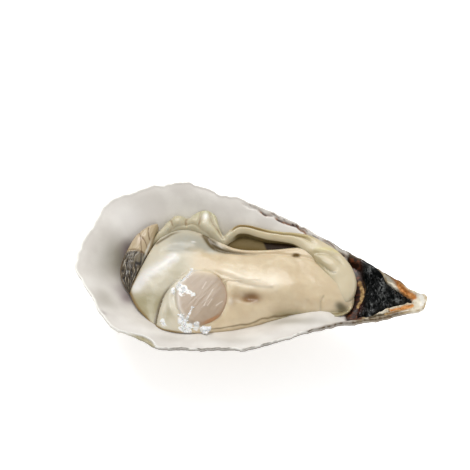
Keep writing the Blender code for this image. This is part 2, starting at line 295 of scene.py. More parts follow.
def rim_height(plan):
    """The gently waving height of the rim in each place's direction."""
    angle = np.arctan2(plan[:, 1] - BOWL_CENTRE[1], plan[:, 0] - BOWL_CENTRE[0])
    return RIM_HEIGHT - RIM_WAVE * (1 + np.sin(RIM_WAVES_ROUND * angle))


def inner_height(plan):
    """The pearly inside: a sloping flange, the bowl, and the trough of the hinge."""
    depth_in = inset(plan)
    share = np.clip(depth_in / BOWL_REACH, 0, 1)
    fall = 0.35 * share + 0.65 * ramp(0, 1, share)
    bowl = BOWL_DEPTH * (1 - HINGE_SHALLOWING * ramp(SHALLOW_FROM, SHALLOW_TO, plan[:, 0]))
    trough = ramp(TROUGH_FROM, TROUGH_TO, plan[:, 0])
    trough = TROUGH_DEPTH * trough * ramp(TROUGH_BANK_FROM, TROUGH_BANK_TO, depth_in)
    return rim_height(plan) * (1 - share) + RIM_HEIGHT * share - bowl * fall - trough


def outer_height(plan):
    """The back of the shell, before its growth layers."""
    share = np.clip(inset(plan) / HULL_REACH, 0, 1)
    fall = 0.5 * np.sin(share * math.pi / 2) + 0.175 * share + 0.325 * ramp(0, 1, share)
    return (rim_height(plan) - EDGE_THICKNESS) * (1 - fall)


print("deepest inset", round(float(inset(np.array([(-20, 0)]))[0]), 1), "mm")

# %% [markdown]
# ## Two ways to shape a sphere
# Every piece here is a closed body, and the simplest closed body in Blender is a sphere. The
# valve, the body, the muscle and the ligament are spheres pressed flat: the equator becomes
# the outline and the two halves become the upper and lower surface. The far lobe and the gills
# are spheres drawn out from pole to pole. As no face is added or lost, nothing can tear.

# %% Two ways to shape a sphere
SPINE_REACH = 0.35


def ball(sides, rings):
    """A sphere to be shaped, and the places of its vertices."""
    maker = bmesh.new()
    bmesh.ops.create_uvsphere(maker, u_segments=sides, v_segments=rings, radius=1)
    return maker, np.array([vertex.co for vertex in maker.verts])


class Pressed:
    """A sphere with each vertex's place in the plan, its share of the way out and its half."""

    def __init__(self, outline, spine, rings, power):
        sides = len(outline)
        self.maker, points = ball(sides, 2 * rings)
        turn = np.arctan2(points[:, 1], points[:, 0]) / math.tau
        self.around = np.round(turn * sides).astype(int) % sides
        rise = np.arcsin(np.clip(points[:, 2], -1, 1)) / (math.pi / 2)
        level = np.round(rise * rings)
        self.upper = level >= 0
        self.share = 1 - (np.abs(level) / rings) ** power
        start, end = np.array(spine, float)
        middle, run = (start + end) / 2, end - start
        flat = outline[:, :2]
        along = np.clip((flat - start) @ run / max(run @ run, 1), 0, 1)
        foot = (start + along[:, None] * run)[self.around]
        reach = flat[self.around] - foot
        self.edge = (1 - self.share) * np.linalg.norm(reach, axis=1)
        self.plan = middle + (foot - middle) * self.share[:, None] ** SPINE_REACH
        self.plan = self.plan + reach * self.share[:, None]


class Drawn:
    """A sphere drawn out: each vertex has its share along and its place round the section."""

    def __init__(self, sides, stations):
        self.maker, points = ball(sides, stations)
        self.along = np.arccos(np.clip(points[:, 2], -1, 1)) / math.pi
        turn = np.arctan2(points[:, 1], points[:, 0])
        self.across, self.up = np.cos(turn), np.sin(turn)
        self.taper = (1 - np.abs(2 * self.along - 1) ** 6) ** (1 / 3)

    def read(self, sections):
        """Middle, half width and crest of the section at each vertex's share along."""
        line = smooth_line(sections)
        steps = np.linspace(0, 1, len(line))
        rows = np.stack([np.interp(self.along, steps, column) for column in line.T], axis=1)
        near, far, crest = rows[:, :2], rows[:, 2:4], rows[:, 4]
        return (near + far) / 2, (far - near) / 2, crest

    def rounded(self, plan, crest, gap, waist_share, power):
        """Heights of a rounded section that stands on the pearl and reaches the crest."""
        ground = inner_height(plan) + gap
        waist = ground + waist_share * np.maximum(crest - ground, 0)
        rise = np.where(self.up > 0, crest - waist, waist - ground) * self.taper
        return waist + np.sign(self.up) * np.abs(self.up) ** power * rise


def face_out(maker):
    """Turns the faces of a mesh that is inside out."""
    if maker.calc_volume(signed=True) < 0:
        bmesh.ops.reverse_faces(maker, faces=maker.faces)
        maker.normal_update()


def place(maker, plan, heights):
    """Puts the vertices where the plan and the heights say, in metres."""
    for vertex, spot, height in zip(maker.verts, plan, heights):
        vertex.co = (spot[0] * MM, spot[1] * MM, height * MM)
    maker.normal_update()


def shifted(maker, plan, heights, amount):
    """The places after each vertex has moved along its normal by amount."""
    place(maker, plan, heights)
    face_out(maker)
    normals = np.array([vertex.normal for vertex in maker.verts])
    moved = np.hstack([plan, heights[:, None]]) + normals * amount[:, None]
    return moved[:, :2], moved[:, 2]


def add_piece(name, maker, finish, marks=None, stands_for=()):
    """One named, smoothly shaded piece that rides on the object's only body."""
    face_out(maker)
    mesh = bpy.data.meshes.new(name)
    maker.to_mesh(mesh)
    maker.free()
    mesh.shade_smooth()
    mesh.materials.append(finish)
    for mark, values in (marks or {}).items():
        layer = mesh.attributes.new(mark, "FLOAT", "POINT")
        layer.data.foreach_set("value", np.asarray(values, np.float32))
    piece = bpy.data.objects.new(name, mesh)
    show(piece)
    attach(piece, "root")
    if stands_for:
        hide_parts(*stands_for)
    print(name, len(mesh.polygons), "faces")


# %% [markdown]
# ## Writing materials as sums
# A shader is a graph of nodes, but its maths reads better as a sum. `Wire` stands for one
# output of a node, and adding or multiplying two wires adds the Math node that does it.
# `Paint` holds one material and makes any other node.

# %% Writing materials as sums
class Wire:
    """One output in a material's graph, with Python's operators."""

    def __init__(self, paint, output):
        self.paint, self.output = paint, output

    def maths(self, operation, first, second):
        return self.paint.node("Math", {"operation": operation}, {0: first, 1: second})

    def __add__(self, other):
        return self.maths("ADD", self, other)

    def __sub__(self, other):
        return self.maths("SUBTRACT", self, other)

    def __rsub__(self, other):
        return self.maths("SUBTRACT", other, self)

    def __mul__(self, other):
        return self.maths("MULTIPLY", self, other)

    __radd__, __rmul__ = __add__, __mul__

    def step(self, low, high):
        """0 below low and 1 above high, smoothly."""
        settings = {"interpolation_type": "SMOOTHSTEP"}
        return self.paint.node("MapRange", settings, {"Value": self, "From Min": low, "From Max": high})


class Paint:
    """A Principled material under construction."""

    def __init__(self, name, **constants):
        self.material = bpy.data.materials.new(name)
        self.material.use_nodes = True
        self.tree = self.material.node_tree
        self.shader = self.tree.nodes["Principled BSDF"]
        for socket, value in constants.items():
            self.shader.inputs[socket.replace("_", " ").title()].default_value = value

    def node(self, kind, settings=None, inputs=None, output=0):
        made = self.tree.nodes.new("ShaderNode" + kind)
        for setting, value in (settings or {}).items():
            setattr(made, setting, value)
        for socket, value in (inputs or {}).items():
            self.feed(made.inputs[socket], value)
        return Wire(self, made.outputs[output])

    def feed(self, socket, value):
        if isinstance(value, Wire):
            self.tree.links.new(value.output, socket)
        elif socket.type == "RGBA" and len(value) == 3:
            socket.default_value = (*value, 1)
        else:
            socket.default_value = value

    def mark(self, name):
        """A number that the mesh carries at each vertex."""
        return self.node("Attribute", {"attribute_name": name}, output="Fac")

    def speckle(self, size, detail, warp=0):
        """Noise from 0 to 1 with patches of the given size in millimetres."""
        spread = {"Vector": self.node("TexCoord", output="Object"), "Scale": (1 / (size * MM),) * 3}
        where = self.node("Mapping", inputs=spread)
        texture = {"Vector": where, "Scale": 1, "Detail": detail, "Distortion": warp}
        return self.node("TexNoise", inputs=texture)

    def cover(self, color, *patches):
        """A colour with patches laid over it, each a factor (or a mark's name) and a colour."""
        color = color if isinstance(color, Wire) else tone(*color)
        settings = {"data_type": "RGBA", "clamp_factor": True}
        for factor, patch in patches:
            factor = self.mark(factor) if isinstance(factor, str) else factor
            patch = patch if isinstance(patch, Wire) else tone(*patch)
            color = self.node("Mix", settings, {0: factor, 6: color, 7: patch}, output=2)
        return color

    def set(self, socket, value):
        self.feed(self.shader.inputs[socket], value)

    def relief(self, height, depth):
        """A bump of the given depth in millimetres."""
        inputs = {"Height": height, "Distance": depth * MM, "Strength": 1}
        self.set("Normal", self.node("Bump", inputs=inputs))


def tone(red, green, blue):
    """A colour as it looks on a screen, 0 to 255, in the linear light that shaders use."""
    return tuple((part / 255) ** 2.2 for part in (red, green, blue))


floor_paint = Paint("white_floor", roughness=0.9)
floor_paint.set("Base Color", (0.9, 0.9, 0.9))
floor_paint.set("Emission Color", (1, 1, 1))
floor_paint.shader.inputs["Emission Strength"].default_value = 0.55
floor_mesh.materials.append(floor_paint.material)

# %% [markdown]
# ## The valve
# One pressed sphere gives the whole valve: pearl above, growth layers below, and a thin edge
# between them. The edge is crinkled with noise, because a rim drawn with a smooth curve alone
# looks cast in plastic. On the back, `growth` tells how far a place is from the beak, as a
# share of the way to the rim, so its level lines are the old rims that each layer left.

# %% The valve's outline and growth
VALVE_SIDES, VALVE_RINGS = 420, 92
SHELL_SPINE = ((-30, 0), (42, -3.5))
UMBO = np.array((47, -4.6))
LAYERS, LAYER_RISE = 12, 1.9
RIBS, RIB_RISE, GRIT_RISE = 26, 0.63, 0.22
LIGAMENT_FAR = (
    (50.9, -3.3), (48.6, -2.1), (46.6, -0.7), (44.4, 0.7), (42.4, 2.5), (40.6, 4.7), (38.2, 6.8),
    (35.8, 8.1), (33.8, 8.8),
)
LIGAMENT_BACK = ((34.2, 6), (35.3, 2.4), (36.1, -0.5), (35.8, -4), (34.5, -7.6))
LIGAMENT_NEAR = (
    (34.5, -11), (37.2, -11.4), (39.6, -10.1), (42, -8.1), (45, -6.4), (47.8, -5.3), (49.8, -4.4),
)


def crinkled(loop):
    """The loop with small irregular scallops."""
    heading = np.roll(loop, -1, axis=0) - np.roll(loop, 1, axis=0)
    outward = pair(heading[:, 1], -heading[:, 0])
    outward /= np.linalg.norm(outward, axis=1)[:, None]
    waves = 0.22 * rough(loop, 7, 1) + 0.26 * rough(loop, 2.4, 2) + 0.14 * rough(loop, 0.9, 3)
    return loop + outward * waves[:, None]


def growth(plan):
    """How far out from the beak a place is (0 to 1 at the rim), its direction and the reach."""
    rim_turn = np.arctan2(RIM[:, 1] - UMBO[1], RIM[:, 0] - UMBO[0]) % math.tau
    order = np.argsort(rim_turn)
    reach = np.linalg.norm(RIM - UMBO, axis=1)
    turn = np.arctan2(plan[:, 1] - UMBO[1], plan[:, 0] - UMBO[0]) % math.tau
    far = np.interp(turn, rim_turn[order], reach[order], period=math.tau)
    return np.linalg.norm(plan - UMBO, axis=1) / far, turn, far


valve = Pressed(crinkled(rim_loop(VALVE_SIDES)), SHELL_SPINE, VALVE_RINGS, power=1.3)
plan = valve.plan
outward_share, turn, reach = growth(plan)
print("valve reaches", round(float(reach.max()), 1), "mm from the beak")

# %% [markdown]
# The pearl is nearly smooth, with slow swellings. The back gets a saw-tooth of layers: each
# one rises towards its free edge and drops to the next. Layers wander with noise and are
# folded by a few ribs that run out from the beak, and none reaches below the resting plane.

# %% The valve's surfaces
FAR_GROOVE = ((-7, 26.6), (2, 23), (12, 19.2), (20, 15.4), (32, 9.2), (36, 7))
PEEL_LINE = ((-37.5, -25.6), (-34, -26.4), (-30.4, -26.8), (-27.7, -28), (-25.9, -30.2))

x, y = plan.T
hinge = ramp(31, 36, x)
far_bound = np.interp(x, *np.array(LIGAMENT_FAR[::-1]).T)
near_bound = np.interp(x, *np.array(LIGAMENT_NEAR).T)
outside = np.max([near_bound - y, y - far_bound, x - LIGAMENT_FAR[0][0]], axis=0)
arms = ramp(33, 36, x) * ramp(-0.3, 0.5, outside)
arm_top = rim_height(plan) - 0.8 + 0.4 * rough(plan, 1.5, 6, 2)
groove = Near(plan, FAR_GROOVE)
far_layers = ramp(0.02, 0.12, groove.along) * ramp(1, 0.95, groove.along) * (groove.away < 4)
second_layer = far_layers * hill(valve.edge, 1.6 + 0.5 * rough(plan, 3, 14), 0.45)
peel = Near(plan, PEEL_LINE)
peel_zone = ramp(0.1, 0.4, peel.along) * ramp(1, 0.98, peel.along) * ramp(3, 2, peel.away)
peeled = peel_zone * ramp(0.05, -0.2, peel.signed)
peel_lip = peel_zone * hill(peel.signed, 0.15, 0.32)
swell = 0.35 * rough(plan, 11, 4) + 0.12 * rough(plan, 4, 5)
pearl = inner_height(plan) + swell * ramp(0.4, 4, valve.edge)
pearl += 0.25 * hill(valve.edge, 0.35, 0.3) - 0.6 * second_layer + 0.3 * peel_lip - 0.5 * peeled
pearl += arms * np.maximum(arm_top - pearl, 0) * ramp(0, 0.8, valve.edge)

wander = 0.030 * rough(pair(turn * 6, outward_share * 4), 1.6, 7, 2)
phase = (outward_share + wander) * LAYERS
saw = np.mod(phase, 1)
layer_size = 0.35 + 0.65 * reach / reach.max()
unevenness = 0.6 + 0.5 * rough(pair(turn * 6, np.floor(phase) * 3.1), 1.5, 8)
layers = LAYER_RISE * layer_size * np.maximum(unevenness, 0.1) * saw**1.6
ribs = RIB_RISE * layer_size * np.sin(turn * RIBS + 2 * rough(plan, 18, 9))
ribs *= ramp(0.3, 0.9, outward_share)
grit = GRIT_RISE * rough(np.hstack([plan, saw[:, None] * 2]), 1.8, 10, 2)
out = np.where(valve.upper, 0, (layers + ribs + grit - 0.6) * ramp(0.3, 5, valve.edge))
heights = np.where(valve.upper, pearl, outer_height(plan))
plan, heights = shifted(valve.maker, plan, heights, out)
resting = np.maximum(heights, 0.02 * rough(plan, 2, 11) + 0.03)
heights = np.where(valve.upper, heights, resting)
place(valve.maker, plan, heights)
print("back reaches down to", round(float(heights.min()), 2), "mm")

# %% [markdown]
# Pearl is glossy, pale and faintly stained where the mantle lay against it, with painted shade
# beside the meat and painted pools of light on the flange. The back is chalk and horn: tan and
# grey-brown, with painted shade in the steps and pale along each free edge. The hinge's arms are
# chalky cream with rust. The mesh carries what the shader can't know: how far a place is from
# the edge, which side it is on and where it sits within its layer.

# %% The valve's finish
PEARL_PATCHES = {
    # Faint grey stains on the pearl, together with painted shade beside the meat and on the left flange.
    "stain_and_shade": (
        (-44, 4.6, 4.6, 7.5, 0.9), (-47.5, 0, 5, 10, 0.35), (-44, -16, 4, 3, 0.35),
        (-25, 25.5, 12, 2.4, 0.25), (15, -14.8, 9, 1.8, 0.7), (-22, -25.5, 6, 1.6, 0.3),
        (-4, -24, 9, 2, 0.3), (22, 14, 9, 1.8, 0.45), (-45.5, -13, 3, 3, 0.3),
    ),
    "lilac": (
        (-41.8, 8.4, 2, 3, 0.9), (-38.9, -10.4, 2.2, 3.2, 0.85), (-50, -17.4, 1.6, 0.8, 0.7),
        (-41.5, -7.5, 2.5, 3, 0.4), (-44.5, -20.6, 1.5, 0.8, 0.6),
    ),
    # Painted pools of light on the flange.
    "painted_pearl_light": ((-43.5, 17, 6, 5, 0.9), (-32, -24, 7, 2, 0.4), (-48, -8, 3, 4, 0.4)),
}
ARM_LINES = (
    ("orange", ((44.4, 3.8), (46.1, 1.9), (47.7, -0.3), (49.5, -1.7), (51.4, -2.5)), 1.15),
    ("orange", ((44.7, -8.2), (46.7, -7.4), (48.9, -6.7), (50.9, -5.7)), 0.75),
    ("cream", ((38.6, 7.4), (42.4, 3.8), (44.8, 1.5), (47.8, -1), (51, -2.4)), 0.5),
    ("cream", ((50.9, -2.6), (53.6, -3.6), (52.6, -6.2)), 1.5),
    ("white", ((44.2, 4.6), (46.1, 3.7), (47.6, 2.1), (49, 0.5), (50.2, 0.3)), 0.42),
    ("white", ((52.4, -1), (53.9, -3), (53.8, -5.4)), 0.7),
    ("white", ((45.4, -9.6), (47.4, -8.8), (49.6, -8)), 0.4),
    ("umber", ((32.2, 9.2), (32.9, 6.4), (34, 1.8), (34, -4), (33, -8), (33.4, -10.8)), 2.5),
    ("dusk", ((30.6, 10.6), (33.4, 9.6), (36.4, 8.2), (38.4, 6.9)), 1),
    ("dusk", ((38, -12), (40.4, -10.6), (43.6, -9.7)), 0.6),
    ("gold", ((34.2, 2.6), (35, 0.6), (35.4, -1.8), (35.2, -4), (34.5, -6)), 0.7),
    ("gold", ((43, -9.7), (45.2, -9), (46.9, -8.4)), 0.5),
)

x, y = plan.T
flecks = ramp(-0.5, 0.1, rough(plan, 2.6, 12, 2))
thin_line = far_layers * hill(valve.edge, 0.8 + 0.3 * rough(plan, 4, 16), 0.16)
thin_line *= ramp(-0.2, 0.3, rough(plan, 2, 17, 2))
outer_width = 0.45 * ramp(0, -6, y) * ramp(16, 28, x) + 0.2 + 0.1 * ramp(17, 24, x)
near_line = ramp(-26, -20, x) * ramp(-8, -12, y) * ramp(-0.5, 0.1, rough(plan, 3, 18, 2))
outer_line = hill(valve.edge, 0.15, outer_width) * np.maximum(ramp(17, 24, x), near_line)
inside_marks = {name: spots(plan, *rows) for name, rows in PEARL_PATCHES.items()}
inside_marks |= {
    "near_edge": valve.edge, "rust": second_layer * flecks + 0.8 * thin_line, "hinge": hinge,
    "peeled": peeled, "peel_lip": peel_lip, "outer_line": outer_line * ramp(50, 46, x),
}
for arm_mark, line, width in ARM_LINES:
    drawn = Near(plan, line).band(width)
    inside_marks[arm_mark] = inside_marks.get(arm_mark, 0) + drawn
inside_marks["umber"] *= 2

near_right = ramp(14, 26, x) * ramp(-2, -6, y)
rim_band = ramp(2 + 4 * near_right, 1 + 3 * near_right, valve.edge) * (1 - 0.3 * near_right)
rim_band *= ~valve.upper
near_side = ramp(-30, -24, x) * ramp(6, -2, y)
far_side = 0.6 * ramp(12, 22, x) * ramp(-2, 6, y)
dark_side = np.maximum(near_side, far_side) * ramp(52, 48, x)
valve_marks = {
    "backside": ~valve.upper, "saw": np.where(valve.upper, 0.5, saw),
    "dark_rim": rim_band * dark_side, "pale_rim": rim_band * (1 - dark_side),
    **{name: values * valve.upper for name, values in inside_marks.items()},
}

shell = Paint("shell", coat_roughness=0.12)
backside, hinge_mark, saw_mark = (shell.mark(name) for name in ("backside", "hinge", "saw"))
patchy, fine = shell.speckle(7, 4), shell.speckle(1.2, 4)
streaks = shell.speckle(2.6, 6, warp=0.6)
chalk = shell.cover(
    (188, 164, 124), (streaks.step(0.35, 0.62), (228, 219, 198)), (fine.step(0.55, 0.72), (128, 98, 64)),
)
# Over the pearl go painted light, stains mixed with painted shade, lilac stains, the pale edge, rust and
# the hinge's chalk.
pearl_color = shell.cover(
    (221, 215, 207), (patchy.step(0.35, 0.7), (234, 229, 221)), ("painted_pearl_light", (246, 242, 236)),
    ("stain_and_shade", (164, 158, 144)), ("lilac", (142, 128, 128)),
    (1 - shell.mark("near_edge").step(0.2, 0.8), (243, 240, 232)),
    ("rust", shell.cover((70, 42, 26), (fine.step(0.4, 0.6), (142, 92, 50)))), ("hinge", chalk),
)
orange = shell.cover((184, 112, 44), (fine.step(0.42, 0.6), (222, 156, 92)))
umber = shell.cover((50, 30, 20), (fine.step(0.45, 0.65), (116, 64, 38)))
gold = shell.cover((150, 112, 64), (fine.step(0.4, 0.6), (214, 178, 120)))
for arm_mark, arm_tone in (
    ("cream", (232, 224, 204)), ("orange", orange), ("umber", umber), ("dusk", (86, 76, 54)),
    ("gold", gold), ("white", (246, 243, 234)),
):
    flaky = (shell.mark(arm_mark) * (0.3 + 1.3 * fine)).step(0.25, 0.8)
    pearl_color = shell.cover(pearl_color, (flaky, arm_tone))
pearl_color = shell.cover(
    pearl_color, (shell.mark("outer_line") * (0.4 + fine), (86, 66, 40)),
    (shell.mark("peeled") * (0.5 + 0.8 * fine), (158, 146, 106)), ("peel_lip", (252, 250, 244)),
)
horn = shell.cover(
    (112, 93, 68), (streaks.step(0.3, 0.7), (158, 144, 120)), (patchy.step(0.5, 0.75), (120, 112, 98)),
    # Painted shade in the step at the foot of each layer.
    ((1 - saw_mark.step(0, 0.22)) * 0.75, (60, 46, 32)),
    ((saw_mark + fine * 0.25).step(0.86, 1.08), (205, 196, 176)), ("pale_rim", (232, 227, 213)),
    (shell.mark("dark_rim") * (0.65 + 1.1 * fine), (62, 44, 27)),
)
shell.set("Base Color", shell.cover(pearl_color, (backside, horn)))
dull = (backside + hinge_mark).step(0, 1)
shell.set("Roughness", 0.3 + 0.45 * dull + 0.1 * fine)
shell.set("Coat Weight", 0.3 * (1 - dull))
shell.relief((streaks + fine * 0.5) * (0.03 + dull), 0.5)
add_piece("shell_valve", valve.maker, shell.material, valve_marks, ["half_shell"])

# %% [markdown]
# ## Foam of the cut
# Opening the shell leaves a white film of foam and ground pearl along the cut muscle. The film
# is a colour on the meat, and the larger crumbs are modelled later along the same lines.

# %% Foam of the cut
FOAM_LINES = (
    (((-19.2, 0), (-19.8, -2), (-20.9, -3.8), (-22.5, -5.7)), 0.55, 24, 0.26),
    (((-22.6, -6.6), (-21, -7.2), (-19.6, -8.4), (-17.7, -9.6)), 0.9, 18, 0.32),
    (((-22, -7.6), (-21.4, -8.6), (-21, -9.6)), 1, 10, 0.36),
    (((-24.3, -8), (-23.8, -9.4)), 0.6, 8, 0.26),
    (((-17.3, -14), (-17.7, -16.1), (-18.2, -18)), 0.42, 14, 0.3),
    (((-20.2, -17.4), (-19.5, -19.4), (-17.7, -19.9), (-15.2, -19.6)), 1.25, 34, 0.4),
    (((-19.9, -21), (-18.4, -21.6), (-16.9, -21.2)), 0.6, 10, 0.4),
    (((-26, -18.6), (-25.2, -20.2)), 0.7, 10, 0.28),
    (((-12.6, -20), (-12.2, -20.2), (-11.8, -20.2)), 0.9, 7, 1.5),
)


def foam_on(plan):
    """How thickly foam covers each place, from 0 to 1."""
    cover = np.zeros(len(plan))
    for line, width, _, _ in FOAM_LINES:
        cover += Near(plan, line).band(width)
    return ramp(0.25, 0.7, cover * (0.9 + 0.6 * rough(plan, 1.3, 71, 2)))


print(len(FOAM_LINES), "lines of foam")

# %% [markdown]
# ## Finishes for the meat
# Oyster meat is wet and lets light in a little. Subsurface scattering softens its shadows, and
# a clear coat with a low roughness gives the water film its sharp, small highlights. All folds
# share one recipe: a base colour, patches where the mesh carries a mark, and a faint mottle.

# %% Finishes for the meat
SCATTER = (1, 0.72, 0.5)


def add_meat(
    name, maker, slot, node, base, second, patches,
    finish=None, wetness=0.5, scatter=0.25, bumpiness=0.12, shine=0.5,
):
    """A piece of wet meat: two base colours mottled, and patches of (colour, where it lies)."""
    paint = Paint(
        finish or slot, subsurface_weight=scatter, subsurface_radius=SCATTER,
        subsurface_scale=1.8 * MM, coat_roughness=0.16,
    )
    paint.shader.inputs["Specular IOR Level"].default_value = shine
    mottle, grain = paint.speckle(4.5, 3, warp=0.3), paint.speckle(0.9, 2)
    color = paint.cover(base, (mottle.step(0.3, 0.7), second))
    for mark, (patch, _) in patches.items():
        color = paint.cover(color, ((paint.mark(mark) * (0.7 + 0.6 * mottle)).step(0, 1), patch))
    paint.set("Base Color", color)
    paint.set("Roughness", 0.34 + 0.14 * grain)
    paint.set("Coat Weight", wetness * (0.5 + 0.7 * mottle).step(0.2, 1.2))
    paint.relief(mottle + grain * 0.25, bumpiness)
    marks = {mark: where for mark, (_, where) in patches.items()}
    add_piece(name, maker, paint.material, marks, [node])


# %% [markdown]
# ## The body and the near lobe
# The largest piece is the plump body, which runs into the near lobe of the mantle. Its outline
# has heights of its own: along the slot it is a free lip, on the far left it slips under the
# ruffles, and along the near side it rests on the pearl.

# %% The body's outline and height
BODY_OUTLINE = (
    (33, -4.8, 19.6), (31.8, 0.6, 20.8), (28.6, 4.2, 21.6), (24.6, 7.6, 21.8), (20.6, 10.2, 21.8),
    (15.4, 12.1, 21.5), (11.4, 11.9, 21.2), (5.6, 10.7, 20.9), (-1.7, 9.7, 20.7), (-5.9, 9.8, 20.6),
    (-9, 10.6, 20.5), (-12, 12.4, 19.8), (-16.1, 15.6, 19), (-20.5, 17.4, 18.4),
    (-25.8, 16.9, 18), (-30.4, 14, 17.8), (-33.2, 9.4, 17.8), (-35.6, 2.2, 17.6),
    (-37.2, -3, 17.2), (-38.4, -7.4, 16.6), (-37.6, -9.8, 16.6), (-35.2, -13.5, 17),
    (-31.6, -17.3, 17.8), (-28.9, -20, 18.6), (-27.4, -20.8, 18.8), (-25.2, -21.7, 19),
    (-20.4, -22.2, 19.2), (-14.8, -21.4, 18.8), (-10.8, -20.6, 18.4), (-7.4, -19.6, 17.8),
    (2, -16.2, 16.4), (8, -13.4, 16.2), (14, -12.2, 18), (20.6, -12.3, 20),
    (26.6, -11.6, 20.6), (31.4, -9.2, 20.2),
)
BODY_HEIGHTS = (
    (33, -4.5, 22.4), (28.6, 0, 23.9), (28, -5.5, 23.6), (26.5, -9, 22.1), (23.5, 0.5, 23.9),
    (23, -5, 23.5), (17, 2.5, 23.7), (13, -4.5, 24.3), (17.5, -8.8, 22.8), (5, -1, 23.6),
    (3, 5.5, 22.6), (12, 6, 23), (3, 9.3, 21.8), (11.5, 10.4, 22.2), (17.5, 10, 22.9),
    (-4.5, 4.6, 22), (-7, 0, 22.6), (2, -9.5, 22.4), (9, -9, 22.4), (-3, -14, 21.2),
    (-14, 3.5, 21.6), (-13.5, 8.4, 20.6), (-20.5, 10.5, 21.8), (-26.5, 10.8, 21.4),
    (-22, 15, 20.2), (-29.6, 12, 20.4), (-21, 3.6, 21.2), (-27, 4, 21.4),
    (-31.5, 4.5, 20.6), (-31.4, -1.4, 21.2), (-35.4, -5.4, 19.9), (-29, -6.5, 20.9),
    (-34, -10.5, 19.4), (-30.4, -13.2, 20), (-29, -17.6, 19.8), (-24, -8, 21.2),
    (-24.2, -15, 21.2), (-21.5, -20, 20.8), (-13, -19.8, 20.8), (-14.3, -9.4, 21.4),
    (-6, -13.6, 21.4), (24, 5, 22.8),
)
BODY_SIDES, BODY_RINGS = 340, 70
BODY_SPINE = ((-25, -3), (22, -3))

body_outline = even_loop(smooth_line(BODY_OUTLINE, True), BODY_SIDES)
body = Pressed(body_outline, BODY_SPINE, BODY_RINGS, 1.5)
plan = body.plan
print("outline of the meat:", len(body_outline), "points")

# %% [markdown]
# The soft parts press on each other, which leaves two kinds of line. A `furrow` is pressed in
# with both banks alike. An `overlap` has a bank that rolls over and hides the other one's edge.
# Both start softly, because such folds fade out in the meat rather than end.

# %% The folds of the body
FOLD_LEFT = (
    (-19.6, 0.6), (-21.4, -1.6), (-24.6, -6), (-26.6, -10), (-27.5, -14.3), (-27.8, -18),
    (-27.8, -22),
)
LIP_LINE = (
    (-17, 13.9), (-14.3, 10.6), (-11, 8.9), (-7.2, 8.2), (-0.9, 8.1), (5.9, 8.9), (12, 8.7),
    (16.5, 8.2), (19.4, 7.2), (22.3, 5.4), (26.1, 3.3), (28.3, 0), (28.9, -4),
)
RIDGE_LINE = ((-14, 1.2), (-10.5, 0.6), (-6.8, -0.6), (-2.9, -2.2), (1.5, -3), (7, -3))
PALE_LINE = ((-23, 5.6), (-25.9, 4), (-28.5, 1.5), (-31.8, -1.1), (-34.4, -3.8), (-36, -6.4))
DISH_LINE = ((-21.4, -3.4), (-24, -8), (-24.6, -12.6), (-23.4, -15.9), (-20.6, -18.8))
HOOD_LINE = ((-31.5, 5.4), (-27, 7.4), (-21, 6.6), (-15, 7), (-10.5, 5.2))
END_LINE = ((23.2, -5.6), (22.6, -7.6), (22.8, -10.6))
HOOD_EDGE = ((-32.2, 10), (-29.6, 12.2), (-27.9, 13.8), (-25.2, 14.9), (-21.6, 15.3))


def moved(line, right, far):
    """The same line, shifted in the plan."""
    return [(x + right, y + far) for x, y in line]


def furrow(line, width, depth, lead, fade):
    """Pressed in by depth, or raised where the depth is negative."""
    near = Near(plan, line)
    return -depth * near.band(width) * ramp(0, lead, near.along) * ramp(1, fade - 0.01, near.along)


def overlap(line, drop, reach, roll, lead):
    """The bank on the left of the line's heading rolls over the other one."""
    near = Near(plan, line)
    under = -drop * np.exp(-near.away / reach) * ramp(0.15, -0.15, near.signed)
    return (under + roll * hill(near.signed, 1.1, 1)) * ramp(0, lead, near.along)


FURROWS = (
    (LIP_LINE, 0.62, 0.85, 0.15, 0.8), (moved(RIDGE_LINE, 0, -1.6), 1, 0.5, 0.45, 0.6),
    (RIDGE_LINE, 1.3, -0.3, 0.4, 0.6), (PALE_LINE, 1.5, -0.45, 0.3, 0.8),
    (DISH_LINE, 0.8, -0.35, 0.3, 0.7), (HOOD_LINE, 1.4, 0.35, 0.3, 0.7),
    (END_LINE, 0.6, 0.5, 0.3, 0.9), (moved(END_LINE, -4.6, -1.6), 0.7, 0.3, 0.3, 0.9),
)
SWELLS = (
    (20.4, -7.4, 1.8, 1.6, 0.3), (25.6, -7.2, 1.6, 1.6, 0.25), (-0.2, -8.3, 3.2, 1.5, -1.4),
    (13, 8.9, 1.2, 0.7, -0.5),
)
MUSCLE_CENTRE, MUSCLE_REACH = np.array((-14.9, -9.5)), np.array((8.4, 9.6))

x, y = plan.T
muscle_away = np.linalg.norm((plan - MUSCLE_CENTRE) / MUSCLE_REACH, axis=1)
relief = overlap(FOLD_LEFT, 1.7, 2.6, 0.35, 0.55) + sum(furrow(*row) for row in FURROWS)
relief += spots(plan, *SWELLS) + 0.16 * rough(plan, 6, 21) + 0.05 * rough(plan, 2, 22)
relief -= 0.15 * hill(muscle_away, 1.03, 0.05) * ramp(-14, -8, x)
relief -= 1.6 * ramp(0.98, 0.9, muscle_away)

free_lip = (ramp(-13, -8.5, body_outline[:, 0]) * ramp(7, 9, body_outline[:, 1]))[body.around]
skirt = (ramp(4, 14, body_outline[:, 0]) * ramp(-6, -9, body_outline[:, 1]))[body.around]
dome = (1 - body.share**2.4) ** (1 / 2.4)
waist = body_outline[body.around, 2]
top = waist + (laid_over(BODY_HEIGHTS)(plan) + relief - waist) * dome
top -= 2.2 * skirt * hill(body.edge, 0, 1.6) * ramp(0.1, 0.9, body.edge)
top += 0.3 * free_lip * hill(body.edge, 0.9, 0.6)
bottom = waist + (np.minimum(inner_height(plan) + 0.1, waist) - waist) * dome**0.8
place(body.maker, plan, np.where(body.upper, top, bottom))
body_surface = np.column_stack([plan, top])[body.upper]
print("body stands", round(float(top.max()), 1), "mm high")
